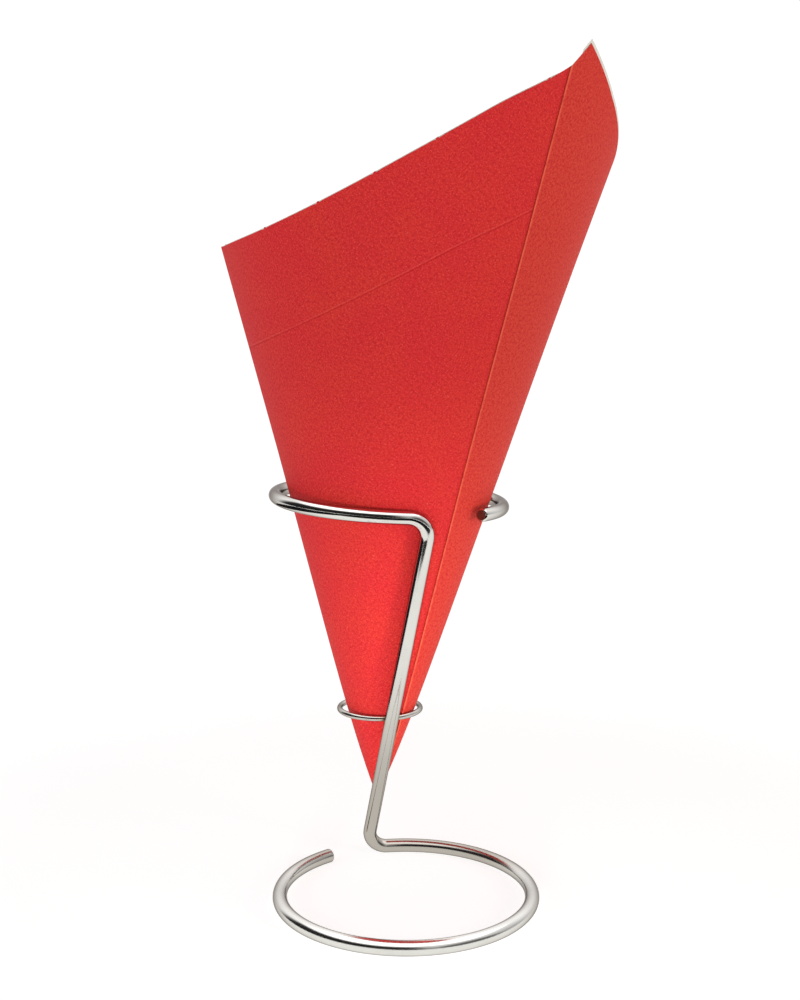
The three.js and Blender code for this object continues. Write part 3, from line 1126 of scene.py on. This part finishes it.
    def skin(self, ply: Ply, columns: int, outer: list[np.ndarray], inner: list[np.ndarray],
             flat: list[tuple[float, float]]) -> bpy.types.Object:
        """Join the two faces of a ply into one closed mesh.

        Args:
            ply: Which ply it is, for its name.
            columns: Number of grid lines.
            outer: Outer face points, column by column.
            inner: Inner face points in the same order.
            flat: Flat-sheet place of each point, in metres.

        Returns:
            The ply's object.
        """
        rows, half = self.rows, len(outer)
        verts = self.place.metres(np.array(outer + inner))
        faces = []
        for i in range(columns - 1):
            for k in range(rows - 1):
                a, b = i * rows + k, (i + 1) * rows + k
                faces.append((a, b, b + 1, a + 1))
                faces.append((a + half, a + 1 + half, b + 1 + half, b + half))
        edge_from = len(faces)
        for i in range(columns - 1):
            a, b = i * rows, (i + 1) * rows
            faces.append((a, a + half, b + half, b))
            a, b = a + rows - 1, b + rows - 1
            faces.append((a, b, b + half, a + half))
        for k in range(rows - 1):
            a = k
            faces.append((a, a + 1, a + 1 + half, a + half))
            b = (columns - 1) * rows + k
            faces.append((b, b + half, b + 1 + half, b + 1))
        obj = mesh_object(f"cone_{ply.value}", verts, faces)
        mesh = obj.data
        face_outwards(mesh)
        sheet_map = mesh.uv_layers.new(name="flat_sheet")
        places = np.array(flat + flat, np.float32)
        corner_verts = np.zeros(len(mesh.loops), np.int32)
        mesh.loops.foreach_get("vertex_index", corner_verts)
        sheet_map.data.foreach_set("uv", places[corner_verts].ravel())
        finish_of = np.zeros(len(mesh.polygons), np.int32)
        finish_of[edge_from:edge_from + 2 * (columns - 1)] = 1
        mesh.polygons.foreach_set("material_index", finish_of)
        # the cut edges shade apart from the two faces
        sharp = np.zeros(len(mesh.edges), bool)
        first_loop = mesh.polygons[edge_from].loop_start
        loop_edges = np.zeros(len(mesh.loops), np.int32)
        mesh.loops.foreach_get("edge_index", loop_edges)
        sharp[loop_edges[first_loop:]] = True
        mesh.edges.foreach_set("use_edge_sharp", sharp)
        smooth = np.ones(len(mesh.polygons), bool)
        smooth[edge_from:] = False
        mesh.polygons.foreach_set("use_smooth", smooth)
        mesh.update()
        return obj

    def build(self, red: bpy.types.Material, core: bpy.types.Material,
              pale: bpy.types.Material) -> list[bpy.types.Object]:
        """Make both plies and stand them for their CAD nodes.

        Args:
            red: Finish of the outer ply.
            core: Finish of its cut edges.
            pale: Finish of the liner.

        Returns:
            The outer ply and the liner.
        """
        made = []
        for ply, node, slot, finishes in ((Ply.OUTER, "cone_sheet", "red_paper", (red, core)),
                                          (Ply.LINER, "cone_liner", "liner_paper", (pale, pale))):
            obj = self.build_ply(ply)
            for finish in finishes:
                obj.data.materials.append(finish)
            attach(obj, "cone")
            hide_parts(node)
            made.append(obj)
        return made


# ---------------------------------------------------------------- studio
@dataclass(frozen=True)
class Lamp:
    """Rectangular soft light, in metres and watts."""

    name: str
    at: tuple[float, float, float]
    size: tuple[float, float]
    power: float
    colour: tuple[float, float, float] = (1.0, 1.0, 1.0)


@dataclass(frozen=True)
class Beam:
    """Soft round beam, in metres, degrees and watts; it aims at a height on the stand's middle line."""

    name: str
    at: tuple[float, float, float]
    aim_height: float
    opening: float
    power: float
    colour: tuple[float, float, float] = (1.0, 1.0, 1.0)
    softness: float = 0.05


@dataclass(frozen=True)
class DarkCard:
    """Black card lying level just over the table, seen only in the polished metal."""

    name: str
    middle: tuple[float, float, float]
    size: tuple[float, float]


@dataclass
class Studio:
    """Pale floor, soft lights, a white sweep and the camera.

    The eye sees a plain white surround. Reflections see walls, dark corners, a ceiling and dark cards.
    """

    place: WorkFrame
    camera_at: tuple[float, float, float] = (-3.32, -531.2, 228.0)
    pitch: float = 6.414
    yaw: float = 0.09
    lens: float = 47.49
    floor_near: float = 0.16
    floor_far: float = 0.42
    floor_glow: float = 0.72
    floor_reach: float = 6.0
    floor_grey: float = 0.62
    floor_in_metal: float = 1.22
    white_level: float = 1.05
    wall_level: float = 0.95
    low_wall_share: float = 0.55
    back_level: float = 0.55
    box_level: float = 1.1
    gloom_depth: float = 0.97
    left_gloom: tuple[float, float, float] = (-0.80, -0.60, 0.0)
    right_gloom: tuple[float, float, float] = (0.80, -0.60, 0.0)
    right_gloom_share: float = 0.8
    soft_levels: tuple[float, float] = (0.24, 0.34)
    card_glow: float = 0.012
    aim_back: float = 0.05
    lamp_aim_height: float = 0.17
    sensor: float = 36.0
    lamps: tuple[Lamp, ...] = (
        Lamp("key_left", (-0.9, -0.75, 0.26), (0.8, 0.6), 4.5),
        Lamp("fill_right", (1.0, -0.6, 0.30), (0.6, 0.6), 4.6, (1.0, 0.88, 0.74)),
    )
    beams: tuple[Beam, ...] = (
        Beam("low_front", (-0.12, -0.85, 0.05), 0.02, 27.0, 19.5),
        Beam("low_right", (0.75, -0.55, 0.05), 0.03, 25.0, 11.0, (1.0, 0.92, 0.84)),
    )
    cards: tuple[DarkCard, ...] = (
        DarkCard("dark_card_front", (-0.25, -1.72, 0.002), (3.0, 3.0)),
        DarkCard("dark_card_left", (-1.60, 0.02, 0.002), (2.7, 0.8)),
    )

    def camera(self) -> bpy.types.Object:
        """Make the camera and set it as the scene's.

        Returns:
            The camera.
        """
        data = bpy.data.cameras.new("view")
        data.sensor_width, data.lens = self.sensor, self.lens
        data.clip_start, data.clip_end = 0.01, 50.0
        obj = bpy.data.objects.new("view", data)
        bpy.context.scene.collection.objects.link(obj)
        obj.location = self.place.metres(np.array(self.camera_at))
        obj.rotation_euler = (math.radians(90 - self.pitch), 0.0, math.radians(-self.yaw))
        bpy.context.scene.camera = obj
        return obj

    def floor(self) -> bpy.types.Object:
        """Make the large, plain, pale floor.

        Returns:
            The floor.
        """
        reach = self.floor_reach
        corners = np.array([(-reach, -reach, 0), (reach, -reach, 0), (reach, reach, 0), (-reach, reach, 0)])
        obj = mesh_object("floor", corners, [(0, 1, 2, 3)])
        material = bpy.data.materials.new("pale_floor")
        material.use_nodes = True
        sheet = NodeSheet(material.node_tree)
        place = sheet.add("ShaderNodeTexCoord").outputs["Object"]
        away = sheet.add("ShaderNodeVectorMath", operation="LENGTH", in_0=place).outputs["Value"]
        far = sheet.band(away, self.floor_near, self.floor_far)
        grey = self.floor_grey
        card = sheet.add("ShaderNodeBsdfDiffuse", in_Color=(grey, grey, grey, 1))
        glow = sheet.add("ShaderNodeEmission", in_Color=(1, 1, 1, 1), in_Strength=self.floor_glow)
        both = sheet.add("ShaderNodeAddShader", in_0=card.outputs[0], in_1=glow.outputs[0])
        white = sheet.add("ShaderNodeEmission", in_Color=(1, 1, 1, 1), in_Strength=self.white_level)
        mixed = sheet.add("ShaderNodeMixShader", in_0=far, in_1=both.outputs[0], in_2=white.outputs[0])
        # the polished bar sees an evenly lit table, a little warmer than the eye does
        table = sheet.add("ShaderNodeEmission", in_Color=(0.97, 0.98, 0.95, 1),
                          in_Strength=self.floor_in_metal)
        mirror = sheet.add("ShaderNodeLightPath").outputs["Is Glossy Ray"]
        seen = sheet.add("ShaderNodeMixShader", in_0=mirror, in_1=mixed.outputs[0], in_2=table.outputs[0])
        sheet.add("ShaderNodeOutputMaterial", in_Surface=seen.outputs[0])
        obj.data.materials.append(material)
        return obj

    def hang(self, data: bpy.types.Light, at: tuple[float, float, float],
             aim_height: float) -> bpy.types.Object:
        """Hang a light, hidden from reflections, and aim it at the stand's middle line.

        Args:
            data: The light.
            at: Its place.
            aim_height: Height of the point it looks at.

        Returns:
            The light's object.
        """
        obj = bpy.data.objects.new(data.name, data)
        bpy.context.scene.collection.objects.link(obj)
        obj.location = at
        obj.visible_glossy = False
        aim = Vector((self.place.x, self.place.y + self.aim_back, aim_height)) - Vector(at)
        obj.rotation_euler = aim.to_track_quat("-Z", "Y").to_euler()
        return obj

    def lamp(self, lamp: Lamp) -> bpy.types.Object:
        """Make a rectangular soft light aimed at the middle of the cone.

        Args:
            lamp: Its sizes.

        Returns:
            The light's object.
        """
        data = bpy.data.lights.new(lamp.name, "AREA")
        data.shape, data.size, data.size_y = "RECTANGLE", *lamp.size
        data.energy, data.color = lamp.power, lamp.colour
        return self.hang(data, lamp.at, self.lamp_aim_height)

    def beam(self, beam: Beam) -> bpy.types.Object:
        """Make a soft round beam on the lower cone and the stem.

        Args:
            beam: Its sizes.

        Returns:
            The light's object.
        """
        data = bpy.data.lights.new(beam.name, "SPOT")
        data.energy, data.color = beam.power, beam.colour
        data.spot_size, data.spot_blend = math.radians(beam.opening), 1.0
        data.shadow_soft_size = beam.softness
        return self.hang(data, beam.at, beam.aim_height)

    def walls(self, sheet: NodeSheet, ray: bpy.types.NodeSocket) -> bpy.types.NodeSocket:
        """Light the studio that reflections see.

        Args:
            sheet: The world's tree.
            ray: Direction of the ray.

        Returns:
            The level in that direction.
        """
        split = sheet.add("ShaderNodeSeparateXYZ", in_Vector=ray)
        overhead = sheet.math("MULTIPLY", sheet.band(split.outputs["Z"], 0.66, 0.74),
                              sheet.band(split.outputs["Y"], 0.30, 0.60, 1.0, 0.0))
        # dark corners at the front left and the front right
        left = sheet.add("ShaderNodeVectorMath", operation="DOT_PRODUCT", in_0=ray, in_1=self.left_gloom)
        right = sheet.add("ShaderNodeVectorMath", operation="DOT_PRODUCT", in_0=ray, in_1=self.right_gloom)
        corners = sheet.math("MAXIMUM", sheet.band(left.outputs["Value"], 0.22, 0.52),
                             sheet.band(right.outputs["Value"], 0.80, 0.93, 0.0, self.right_gloom_share))
        gloom = sheet.math("MULTIPLY", corners, sheet.band(split.outputs["Z"], 0.58, 0.68, 1.0, 0.0))
        kept = sheet.math("SUBTRACT", 1.0, sheet.math("MULTIPLY", gloom, self.gloom_depth))
        # walls that get brighter upwards and to the back, then the ceiling's light box
        wall = sheet.band(split.outputs["Z"], 0.05, 0.60, self.wall_level * self.low_wall_share,
                          self.wall_level)
        wall = sheet.math("ADD", wall, sheet.band(split.outputs["Y"], 0.1, 0.7, 0.0, self.back_level))
        return sheet.math("ADD", sheet.math("MULTIPLY", wall, kept),
                          sheet.math("MULTIPLY", overhead, self.box_level))

    def world(self) -> None:
        """Set up a white surround for the eye, the studio for reflections and soft light for the rest."""
        world = bpy.data.worlds.new("studio")
        world.use_nodes = True
        bpy.context.scene.world = world
        sheet = NodeSheet(world.node_tree)
        ray = sheet.add("ShaderNodeTexCoord").outputs["Generated"]
        light_path = sheet.add("ShaderNodeLightPath")
        mirror, eye = light_path.outputs["Is Glossy Ray"], light_path.outputs["Is Camera Ray"]
        height = sheet.add("ShaderNodeSeparateXYZ", in_Vector=ray).outputs["Z"]
        plain = sheet.band(height, 0.0, 0.8, *self.soft_levels)
        level = sheet.math("ADD", sheet.math("MULTIPLY", self.walls(sheet, ray), mirror),
                           sheet.math("MULTIPLY", plain, sheet.math("SUBTRACT", 1.0, mirror)))
        soft = sheet.add("ShaderNodeBackground", in_Color=(1, 1, 1, 1), in_Strength=level)
        white = sheet.add("ShaderNodeBackground", in_Color=(1, 1, 1, 1), in_Strength=self.white_level)
        both = sheet.add("ShaderNodeMixShader", in_0=eye, in_1=soft.outputs[0], in_2=white.outputs[0])
        sheet.add("ShaderNodeOutputWorld", in_Surface=both.outputs[0])

    def dark_card(self, card: DarkCard) -> bpy.types.Object:
        """Make a dark card.

        Args:
            card: Its place and size.

        Returns:
            The card's object.
        """
        across, deep = card.size[0] / 2, card.size[1] / 2
        corners = [(-across, -deep), (across, -deep), (across, deep), (-across, deep)]
        level = np.array([(x, y, 0.0) for x, y in corners]) + np.array(card.middle)
        obj = mesh_object(card.name, level, [(0, 1, 2, 3)])
        material = bpy.data.materials.new(card.name)
        material.use_nodes = True
        sheet = NodeSheet(material.node_tree)
        glow = sheet.add("ShaderNodeEmission", in_Color=(0.9, 0.93, 1.0, 1), in_Strength=self.card_glow)
        sheet.add("ShaderNodeOutputMaterial", in_Surface=glow.outputs[0])
        obj.data.materials.append(material)
        obj.visible_camera = False
        obj.visible_shadow = False
        obj.visible_diffuse = False
        return obj

    def build(self) -> None:
        """Set the whole studio up."""
        bpy.context.scene.view_settings.view_transform = "Standard"
        self.camera()
        self.floor()
        self.world()
        for lamp in self.lamps:
            self.lamp(lamp)
        for beam in self.beams:
            self.beam(beam)
        for card in self.cards:
            self.dark_card(card)


# ---------------------------------------------------------------- assembly
def base_ring_centre() -> WorkFrame:
    """Find the base ring's centre in the CAD frame; the ring is the bar's right and front edge.

    Returns:
        The working frame.
    """
    low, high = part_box("stand_rod")
    reach = (BASE_RING_RADIUS + BAR_RADIUS) * MM
    return WorkFrame(high.x - reach, low.y + reach)


def main() -> None:
    """Build the stand, the cone and the studio in order."""
    logging.basicConfig(level=logging.INFO, format="%(name)s: %(message)s")
    place = base_ring_centre()
    Studio(place).build()
    log.info("studio ready")

    rod = BentRod(place)
    ring = TipRing(place, rod)
    contact = place.metres(ring.contact()[0])
    steel = PolishedSteel(weld_at=tuple(contact)).build()
    sweep = RodSweep("bar_sweep")
    bar = rod.build(sweep, steel, ShearedEnd().build())
    log.info("%s: %d faces", bar.name, len(bar.data.polygons))
    for piece in ring.build(sweep, steel, BrazeMetal().build()):
        log.info("%s: %d faces", piece.name, len(piece.data.polygons))

    cone = PaperCone(place)
    for piece in cone.build(DyedPaper().build(), PaperCore().build(), GreaseproofPaper().build()):
        log.info("%s: %d faces", piece.name, len(piece.data.polygons))


if __name__ == "__main__":
    main()
